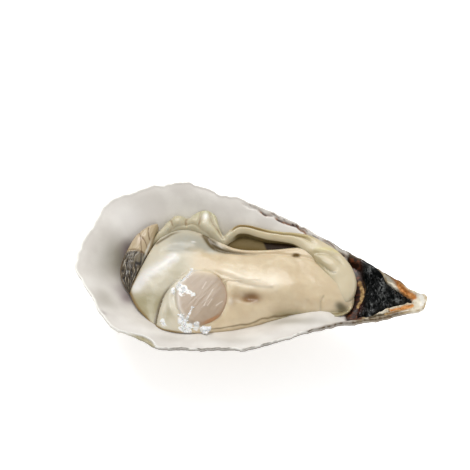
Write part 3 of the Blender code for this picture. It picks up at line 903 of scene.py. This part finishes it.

# %% [markdown]
# Colour follows the folds: blue-grey where the thin hood lets the dark gills shine through,
# nearly white on the band beside it, olive towards the lower left and brown in the hollow beside
# the muscle. Dark olive shade is painted at the bottom of each fold and under the ruffles' edge,
# and a highlight is painted along the ridge above the muscle, with a small glint on the hood.

# %% The body's finish
left, lip, pale, crest, end, hood_edge = (
    Near(plan, line) for line in (FOLD_LEFT, LIP_LINE, PALE_LINE, RIDGE_LINE, END_LINE, HOOD_EDGE)
)
ridge = Near(plan, moved(RIDGE_LINE, 0, -1.7))
left_lobe = ramp(0.3, -0.3, left.signed) * ramp(-5, -13, y) * ramp(-22, -26, x)
near_right = ramp(-14, -8, x) * ramp(-7, -9, y)
near_side = ramp(4, -6, y) * (1 - free_lip)
shade = (
    0.95 * hill(left.signed, -0.35, 0.6) * ramp(0.1, 0.6, left.along)
    + 0.9 * lip.band(0.75) * ramp(0.45, 0.2, lip.along)
    + 0.75 * lip.band(0.55) * ramp(0.62, 0.74, lip.along) * ramp(0.95, 0.85, lip.along)
    + 0.35 * ridge.band(0.7) * ramp(0.3, 0.6, ridge.along)
    + 0.8 * hood_edge.band(0.65) * ramp(0.9, 0.5, hood_edge.along)
)
olive = left_lobe + 0.8 * skirt * ramp(2.6, 0.8, body.edge)
olive += spots(plan, (-24, 1, 5, 4.5, 0.55), (-24.6, -17, 2.2, 3.5, 0.5))
# A small painted glint on the hood, and a pale streak beside the muscle.
white = spots(plan, (-20.2, 10.5, 0.9, 0.4, 0.8), (-5.4, -10.4, 1, 1.3, 0.45))
hood = spots(plan, (-21.5, 11.4, 8, 4.2, 1), (-13, 9, 4.4, 2, 0.7), (-26, 7.2, 3.6, 1.6, 0.75))
brown = spots(plan, (0.6, -8.5, 3.4, 1.8, 1.2), (-4.6, -9.4, 1.8, 4, 0.4))
# Painted shadow under the ruffles' edge, where the lip starts.
under = 1.3 * lip.band(1.1) * ramp(0.3, 0.12, lip.along) + spots(plan, (-13.8, 11.4, 1.6, 1.6, 0.8))
seam = hill(body.edge, 0.9 + 0.3 * rough(plan, 3, 23), 0.25)
rim_line = hill(body.edge, 0.1, 0.4) * (0.25 + 0.65 * ramp(-14, -24, x))
FOAM_WHITE = (246, 245, 241)
add_meat("body_meat", body.maker, "body_meat", "oyster_body", (219, 200, 166), (209, 188, 153), {
    "cool": ((208, 201, 180), 0.8 * ramp(-15, -24, x)),
    "hood": ((172, 168, 152), hood),
    "olive": ((164, 154, 118), np.clip(olive, 0, 1)),
    "pale": ((234, 230, 222), pale.band(2.4) * ramp(0, 0.2, pale.along) + white),
    # Painted highlight along the ridge above the muscle.
    "painted_ridge_highlight": ((240, 226, 200), 0.8 * crest.band(3.2) * ramp(0.1, 0.4, crest.along)),
    "brown": ((140, 106, 68), brown),
    "under": ((96, 82, 50), under),
    "shade": ((104, 88, 54), np.clip(shade, 0, 1)),
    "spot": ((112, 86, 34), spots(plan, (13.2, 8.9, 1.2, 0.85, 1.4))),
    "seam": ((128, 108, 70), 0.8 * seam * near_right),
    "rim_line": ((138, 112, 66), rim_line * near_side),
    "end_shade": ((120, 110, 84), spots(plan, (28.9, -7.8, 1.9, 1.3, 1.1)) + 0.4 * end.band(0.4)),
    "foam": (FOAM_WHITE, foam_on(plan)),
})

# %% [markdown]
# ## The adductor muscle
# The muscle is cut straight through, so its face is nearly flat and shows its fibres as fine
# slanting lines. It is a pressed sphere whose lower half drops to the floor of the cup. The
# fibres are relief along one slanted direction, and streaks of colour along the same one.

# %% The muscle
CUT_STREAKS = (
    ((-11.5, -6.9), (-12.6, -9.8), (-13.6, -13.1)), ((-11.4, -10.5), (-12.5, -12.9)),
    ((-9.8, -12.4), (-8.1, -10.7)), ((-14, -4.6), (-14.9, -7.2)),
)
ACROSS_FIBRES, ALONG_FIBRES = np.array((0.85, -0.53)), np.array((0.53, 0.85))
MUSCLE_SIDES, MUSCLE_RINGS, MUSCLE_HEIGHT = 120, 56, 21.5

turns = np.arange(MUSCLE_SIDES) / MUSCLE_SIDES * math.tau
muscle_outline = pair(np.cos(turns), np.sin(turns)) * MUSCLE_REACH
muscle_outline *= (1 + 0.018 * np.sin(3 * turns + 1) + 0.012 * np.sin(7 * turns))[:, None]
muscle = Pressed(muscle_outline + MUSCLE_CENTRE, (MUSCLE_CENTRE, MUSCLE_CENTRE), MUSCLE_RINGS, 1.1)
plan = muscle.plan
x, y = plan.T
drawn = pair(plan @ ACROSS_FIBRES, plan @ ALONG_FIBRES * 0.12)
fibre, bundle = rough(drawn, 0.55, 31, 2), rough(drawn, 1.8, 32)
top = MUSCLE_HEIGHT + 0.05 * (y - MUSCLE_CENTRE[1]) + 0.8 * (1 - muscle.share**2)
top += (0.02 * fibre + 0.03 * bundle) * (1 - muscle.share**6)
lift = ramp(-3, 1, y)
top += 0.35 * lift - (0.7 - 0.55 * lift) * ramp(0.88, 1, muscle.share) ** 2
bottom = np.where(muscle.share > 0.99, top, inner_height(plan) + 0.15)
place(muscle.maker, plan, np.where(muscle.upper, top, bottom))
muscle_surface = np.column_stack([plan, top])[muscle.upper]
streak = 0.7 * ramp(0.55, 1.1, fibre) * ramp(0.2, 0.8, bundle)
streak += 0.8 * sum(Near(plan, line).band(0.2) for line in CUT_STREAKS)
pale_rim = ramp(0.72, 1, muscle.share) * ramp(1, -6, x - MUSCLE_CENTRE[0])
pink_rim = ramp(0.8, 0.97, muscle.share) * spots(plan, (-6.6, -8, 3, 6, 0.7))
orange_rim = ramp(0.86, 0.99, muscle.share) * spots(plan, (-10.6, -17, 4, 3, 1.1))
add_meat(
    "adductor_muscle_face", muscle.maker, "muscle_meat", "adductor_muscle",
    (177, 157, 134), (170, 149, 126), {
        "dusk": ((166, 145, 126), 0.5 * ramp(0.1, 0.8, bundle)),
        "pale_top": ((216, 198, 166), spots(plan, (-14.4, 0.6, 8, 2.6, 1.3))),
        "streak": ((214, 200, 182), streak),
        "pale_rim": ((218, 208, 194), pale_rim),
        "pink_rim": ((190, 150, 124), pink_rim),
        "orange_rim": ((184, 134, 90), orange_rim),
        "foam": (FOAM_WHITE, foam_on(plan)),
    }, bumpiness=0.05,
)

# %% [markdown]
# ## The far mantle lobe
# The far lobe wraps round the hinge end, stands up like a curtain behind the slot, is pinched
# where the two lobes meet, and runs on in loose ruffles over the edge of the hood. It is one
# sphere drawn out along a list of sections: near side, far side and how high each one stands.

# %% The far lobe
LOBE_SECTIONS = (
    (24, -4.8, 27.2, -7.4, 20.8), (24.2, -4.6, 30.2, -7.2, 21.9), (24, -3.6, 32.2, -5.6, 22.7),
    (23.8, -1.8, 33.4, -2.8, 23.3), (23.2, 0.6, 33.4, 1.6, 23.7), (22.4, 2.6, 31.2, 6.6, 24),
    (20.6, 5.4, 27.4, 10.4, 24.2), (18.2, 8.8, 22.6, 13.4, 24), (14.4, 11.6, 17.2, 16, 23.4),
    (11.4, 13.2, 12.2, 16.9, 22.9), (7.2, 13.8, 7.6, 17.1, 22.5), (3.2, 14.1, 3.4, 17.6, 22.2),
    (-0.6, 14.9, -0.2, 18.2, 22.1), (-3.6, 15.6, -3.6, 18.8, 22), (-6, 15.2, -6.8, 18.5, 21.9),
    (-8.2, 13.3, -9.2, 16.8, 21.6), (-10.2, 11.3, -11, 15.2, 21.4), (-11.8, 11.3, -12.8, 18.2, 21.5),
    (-13.6, 12, -14.4, 21.4, 21.8), (-16.6, 13.4, -17.2, 23, 22.1), (-19.6, 15, -20.2, 22.7, 21.8),
    (-22.6, 15.9, -23.4, 20.8, 21.1), (-25.4, 15.6, -27.2, 21.2, 21.3), (-28, 14.2, -29.5, 19.6, 20.9),
    (-30.3, 12.4, -32, 16.4, 20.4), (-32, 10.8, -33.9, 13.6, 20.1), (-33, 9.6, -34.8, 11.4, 19.6),
)
STRIP_LINE = (
    (-29, 14.6), (-27, 16.4), (-23.4, 17.6), (-20.6, 17.4), (-18.2, 15.9), (-16.2, 14.8),
    (-14.1, 12.8),
)
RUFFLE_GROOVES = (
    (((-23.6, 16.6), (-23.9, 18.8), (-23.4, 21.8)), 0.95, 1.2),
    (((-19.6, 17), (-19.2, 19.6), (-20, 23.4)), 0.7, 0.6),
    (((-11, 13.2), (-13.2, 16.2), (-15.4, 19), (-16.4, 22.8)), 0.65, 0.9),
    (((-10, 13), (-11.8, 16.6), (-12.8, 19.6), (-13.6, 22.6)), 0.5, 0.8),
    (((-27.4, 15.8), (-28.4, 17.4), (-29.4, 20)), 0.7, 0.5),
)
STRAND_GROOVE = ((19.4, 9.6), (22.4, 9.5), (25.2, 8.7), (27.6, 6.7), (28.2, 4.8))
CURL_CREASE = ((20.4, 6.6), (22.4, 5), (24.1, 3.8), (26, 2.9))
LOBE_SIDES, LOBE_STATIONS = 44, 420

lobe = Drawn(LOBE_SIDES, LOBE_STATIONS)
mid, half, crest = lobe.read(LOBE_SECTIONS)
upward = np.maximum(lobe.up, 0)
ruffle = ramp(-9, -12, mid[:, 0])
curtain = ramp(20, 14, mid[:, 0]) * ramp(-10, -6, mid[:, 0])
plan = mid + half * (lobe.across * lobe.taper + 0.25 * curtain * upward)[:, None]
heights = lobe.rounded(plan, crest, 0.15, 0.5 - 0.2 * ruffle, 0.75)
cords = 0.25 * hill(lobe.across, 0.62, 0.2) - 0.45 * hill(lobe.across, 0.16, 0.14)
heights += curtain * upward * (cords + 0.2 * hill(lobe.across, -0.25, 0.25))
heights += upward * (0.12 * rough(plan, 3, 41) + 0.1 * ruffle * rough(plan, 1.5, 42))
strip, strand, curl = (Near(plan, line) for line in (STRIP_LINE, STRAND_GROOVE, CURL_CREASE))
heights -= 0.55 * strip.band(0.5) * upward * ruffle
heights -= 0.55 * strand.band(0.9) * upward * ramp(1, 0.7, strand.along)
heights -= 0.5 * curl.band(0.5) * upward * ramp(1, 0.8, curl.along)
creases = np.zeros(len(plan))
for line, width, depth in RUFFLE_GROOVES:
    groove = Near(plan, line)
    heights -= depth * groove.band(width) * upward * ruffle * ramp(-0.75, -0.2, lobe.across)
    creases += groove.band(width * 0.5) * upward * ruffle * ramp(-0.7, -0.2, lobe.across)
place(lobe.maker, plan, heights)
print("ruffles and curtain reach", round(float(heights.max()), 1), "mm")

# %% [markdown]
# The lobe's outer cord is edged with an olive line, its inner face is pale, and the ruffles
# are a thin greenish cream with brown in the creases and a painted white glint on the tallest
# fold. Shade is painted olive along its near side at the hinge end and dark where the curtain
# drops into the slot.

# %% The far lobe's finish
edge_line = 1.5 * hill(lobe.across, 0.4, 0.26) * ramp(6, -2, mid[:, 0])
edge_line = (edge_line + 1.1 * hill(lobe.across, 0.16, 0.12)) * curtain * upward
end_shade = spots(plan, (29.6, -7.4, 2, 1.6, 0.9)) + 0.7 * curl.band(0.4) * upward
# Painted olive shade along the near side at the hinge end and in the strand's groove.
olive = 0.8 * ramp(17, 21, mid[:, 0]) * ramp(-0.1, -0.7, lobe.across)
olive += 0.6 * strand.band(0.8) * ramp(1, 0.6, strand.along)
yellow = spots(plan, (22.4, 11.2, 3.4, 0.9, 0.8), (26, 10.8, 1, 0.8, 0.5))
inner_face = curtain * ramp(0.3, -0.3, lobe.across) * np.maximum(lobe.up + 0.3, 0)
# Painted shadow on the curtain's lower inner face, down in the slot.
painted_slot_shadow = curtain * ramp(crest - 0.9, crest - 1.4, heights) * ramp(0.1, -0.3, lobe.across)
glint = ruffle * spots(plan, (-17.6, 20.4, 1.3, 1.7, 0.8))
add_meat("far_mantle_lobe", lobe.maker, "mantle_meat", "mantle_edge", (202, 193, 165), (192, 182, 150), {
    "green": ((188, 184, 146), 0.6 * ruffle * ramp(0.2, 0.9, lobe.across)),
    "cream_end": ((211, 197, 165), ramp(11, 19, mid[:, 0])),
    "olive": ((182, 168, 130), olive),
    "inner_face": ((206, 192, 158), inner_face),
    "edge_band": ((182, 165, 116), 0.9 * curtain * ramp(0, 0.25, lobe.across)),
    "edge_line": ((140, 116, 64), np.clip(edge_line, 0, 1)),
    "yellow": ((214, 202, 146), yellow),
    "painted_slot_shadow": ((104, 90, 56), painted_slot_shadow),
    "strip": ((150, 130, 92), 0.7 * strip.band(0.35) * ruffle * upward),
    "crease": ((140, 112, 74), 0.8 * np.clip(creases, 0, 1)),
    "hem": ((122, 96, 56), 1.1 * ruffle * ramp(-0.82, -0.97, lobe.across)),
    "end_shade": ((120, 110, 84), end_shade),
    "glint": ((244, 242, 234), glint),
})

# %% [markdown]
# ## The gills
# Gills are bundles of thin pleats. At the broad end they show as dark strands that run side
# by side round the meat, smooth and tan at their upper end. Down in the slot they are a low
# olive strip. Both are drawn spheres with grooves pressed in lengthwise.

# %% The gills at the broad end
GILL_SECTIONS = (
    (-32.6, 16.6, -33.2, 18, 20.2), (-33.2, 13.6, -36.4, 15.8, 20.7), (-33.8, 9.4, -39.6, 12, 20.9),
    (-34.6, 5.8, -41.4, 7.4, 20.2), (-35.4, 2.2, -42.4, 3.2, 19.6), (-36.2, -1.4, -42.6, -0.8, 19),
    (-37, -5, -41.4, -4.8, 18.4), (-37.8, -8.4, -38.6, -8.6, 17.6),
)
SLOT_SECTIONS = (
    (13.6, 11, 14, 13.8, 21.2), (8, 10.2, 8.3, 15.6, 20.2), (3, 9.6, 3.2, 16.2, 19.4),
    (-3, 9, -3.2, 17.4, 19), (-6.6, 9.4, -7.2, 16.4, 18.9), (-9.4, 10.2, -10, 14.6, 18.8),
    (-11.2, 11, -11.6, 13, 18.6),
)


def gill_band(sections, sides, stations, strands, depth):
    """A drawn band with strands along it: the band, its places, its heights and the strands."""
    band = Drawn(sides, stations)
    mid, half, crest = band.read(sections)
    plan = mid + half * (band.across * band.taper)[:, None]
    drift = 0.3 * rough(pair(band.along * 7, band.across * 1.5), 1, 51)
    strand = np.abs(np.sin((band.across + drift) * strands * math.pi / 2))
    heights = band.rounded(plan, crest, 0.1, 0.4, 0.7)
    heights += depth * (strand - 0.5) * np.maximum(band.up, 0) * band.taper
    return band, plan, heights, strand


LEAF_VEINS = (
    ((-38.6, 13.2), (-37.6, 10.6), (-37, 7.8), (-36.4, 5.4)), ((-35.6, 14.6), (-35.2, 12), (-34.6, 10.4)),
    ((-41.2, 6.2), (-38.6, 6), (-35.4, 5.6)), ((-37, 10.4), (-35.6, 8.8), (-34.6, 6.6)),
)

fringe, plan, heights, strand = gill_band(GILL_SECTIONS, sides=90, stations=170, strands=7, depth=0.9)
upper = fringe.up > 0
tan_end = ramp(0.49, 0.44, fringe.along - 0.03 * fringe.across)
heights -= 0.75 * (strand - 0.5) * np.maximum(fringe.up, 0) * tan_end
lobules = rough(pair(fringe.along * 11, fringe.across * 11), 1, 52, 2)
veins = sum(Near(plan, line).band(0.24) for line in LEAF_VEINS)
heights += (0.12 * lobules * (1 - 0.85 * tan_end) - 0.25 * veins) * upper
place(fringe.maker, plan, heights)
dark_end = 1 - tan_end
glint = hill(fringe.across, -0.80, 0.07) * spots(plan, (-34.6, 7.4, 3, 3.6, 1)) * upper
outline = ramp(0.8, 0.93, fringe.across) * (fringe.up > -0.5)
add_meat("gill_fringe_pleats", fringe.maker, "gill_meat", "gill_fringe", (92, 80, 62), (72, 60, 44), {
    "tip": ((168, 158, 138), ramp(0.75, 0.97, strand) * ramp(0.1, 0.6, lobules) * dark_end),
    "grey": ((122, 111, 92), spots(plan, (-37, 3.4, 3.4, 2, 1.3))),
    "tan": ((190, 170, 136), tan_end),
    "pink": ((206, 184, 158), spots(plan, (-38, 9.8, 2, 2.4, 0.6))),
    "black": ((46, 34, 20), spots(plan, (-41, 0.4, 1.2, 2.6, 1.1)) * ramp(0.9, 0.4, strand)),
    # Painted shade in the grooves between strands.
    "groove": ((40, 31, 22), ramp(0.62, 0.2, strand) * dark_end),
    "vein": ((112, 82, 50), 0.75 * veins),
    "outline": ((98, 76, 46), outline),
    "glint": ((240, 236, 226), glint),
}, wetness=0.6, scatter=0.08)

# %% [markdown]
# The strip in the slot lies in shadow. It is olive and smooth at the left, where light still
# reaches it, and a dark brown towards the hinge.

# %% The gills in the slot
slot, plan, heights, strand = gill_band(SLOT_SECTIONS, sides=40, stations=120, strands=3, depth=0.12)
place(slot.maker, plan, heights)
add_meat("slot_gill_strip", slot.maker, "gill_meat", "slot_gills", (52, 37, 20), (42, 29, 15), {
    # Painted shade in the grooves between strands.
    "groove": ((36, 26, 14), 0.4 * ramp(0.4, 0.05, strand)),
    "olive": ((112, 96, 62), ramp(3.8, 2.4, plan[:, 0] + 0.5 * (plan[:, 1] - 12))),
}, finish="slot_meat", wetness=0, scatter=0, shine=0.08)

# %% [markdown]
# ## The ligament
# The ligament is a black, horny wedge that broke when the shell was opened, so its face is
# rough and glassy at once. Ridged noise gives it broken facets, a strong coat the glints, and a
# few grey glints are painted on in small clusters.

# %% The ligament
LIGAMENT_OUTLINE = LIGAMENT_FAR + LIGAMENT_BACK + LIGAMENT_NEAR
LIGAMENT_SIDES, LIGAMENT_RINGS, LIGAMENT_HEIGHT = 220, 60, 22.4
LIGAMENT_SPINE = ((38, -2), (44, -3))

ligament_loop = even_loop(smooth_line(LIGAMENT_OUTLINE, True), LIGAMENT_SIDES)
ligament = Pressed(ligament_loop, LIGAMENT_SPINE, LIGAMENT_RINGS, 1.1)
plan = ligament.plan
floor_here = inner_height(plan) + 0.2
broken = 1 - np.abs(rough(plan * (1.4, 0.8), 2.6, 61, 2))
shards = 1 - np.abs(rough(plan * (1.5, 0.7), 1.1, 62))
crest = LIGAMENT_HEIGHT + 0.5 * (1 - ligament.share**2) + 1.2 * (broken - 0.6) + 0.9 * (shards - 0.6)
top = floor_here + np.maximum(crest - floor_here, 0.3) * (1 - ligament.share**6) ** (1 / 3)
place(ligament.maker, plan, np.where(ligament.upper, top, floor_here))
RUST_SPOTS = ((32.6, 6.6, 1.4, 3.4, 1), (33.8, -7.8, 1.5, 1.9, 1))
# Where grey glints are painted onto the black.
GLINT_SPOTS = (
    (40.8, 1.8, 1, 0.8, 1), (41, -0.8, 1, 1.6, 1), (41.4, -4.5, 1.1, 1.1, 1), (46.2, -4.4, 1.4, 0.6, 1),
    (38, -10.4, 0.9, 0.8, 1), (36.6, 5.9, 1.4, 0.7, 1), (38.4, -7.4, 1.2, 0.8, 1),
)
ligament_marks = {
    "rust": spots(plan, *RUST_SPOTS),
    "glints": spots(plan, *GLINT_SPOTS) * ramp(-0.2, 0.4, rough(plan, 0.8, 63, 2)),
}
ligament_paint = Paint("ligament", coat_roughness=0.06)
ligament_paint.shader.inputs["Specular IOR Level"].default_value = 0.15
chips = ligament_paint.speckle(0.8, 4)
flakes = ligament_paint.speckle(1.8, 5, warp=0.8)
black = ligament_paint.cover(
    (9, 13, 13), (flakes.step(0.5, 0.85), (34, 36, 34)), ("glints", (128, 130, 128)),
    ("rust", (84, 36, 22)),
)
ligament_paint.set("Base Color", black)
ligament_paint.set("Roughness", 0.5 + 0.2 * chips)
ligament_paint.set("Coat Weight", 0.9 * flakes.step(0.46, 0.6))
ligament_paint.relief(flakes + chips * 0.12, 0.25)
add_piece(
    "hinge_ligament_wedge", ligament.maker, ligament_paint.material, ligament_marks,
    ["hinge_ligament"],
)

# %% [markdown]
# ## Shell crumbs
# White crumbs of pearl lie in the foam, with one larger chip below the muscle. Each crumb is a
# small ball pushed out of round and flattened. All of them are joined into one mesh, set on the
# meat where they lie, and given one glossy white finish.

# %% Shell crumbs
surface = np.vstack([body_surface, muscle_surface])
chance = np.random.default_rng(5)
crumbs = bmesh.new()
for line, width, count, size in FOAM_LINES:
    path = smooth_line(line)
    for spot in path[chance.integers(0, len(path), count)]:
        spot = spot + chance.normal(0, 0.5 * width, 2)
        near = np.argsort(((surface[:, :2] - spot) ** 2).sum(axis=1))[:4]
        ground = surface[near, 2].max()
        made = bmesh.ops.create_icosphere(crumbs, subdivisions=2, radius=1)["verts"]
        push = Vector(chance.uniform(-9, 9, 3))
        for vertex in made:
            vertex.co *= 1 + 0.7 * noise.noise(vertex.co * 1.4 + push)
        sizes = size * chance.uniform((0.5, 0.4, 0.16), (1.3, 0.9, 0.4))
        bmesh.ops.scale(crumbs, vec=Vector(sizes), verts=made)
        turned = Matrix.Rotation(chance.uniform(0, math.pi), 3, "Z") @ Matrix.Rotation(0.4, 3, "Y")
        bmesh.ops.rotate(crumbs, matrix=turned, verts=made)
        bmesh.ops.translate(crumbs, vec=(spot[0], spot[1], ground + 0.1 * size), verts=made)
bmesh.ops.scale(crumbs, vec=(MM, MM, MM), verts=crumbs.verts)
crumb_paint = Paint(
    "white_crumbs", roughness=0.5, subsurface_weight=0.3, subsurface_radius=SCATTER,
    subsurface_scale=0.8 * MM, coat_roughness=0.2, coat_weight=0.25,
)
crumb_paint.set("Base Color", tone(252, 251, 248))
add_piece("shell_crumbs", crumbs, crumb_paint.material)
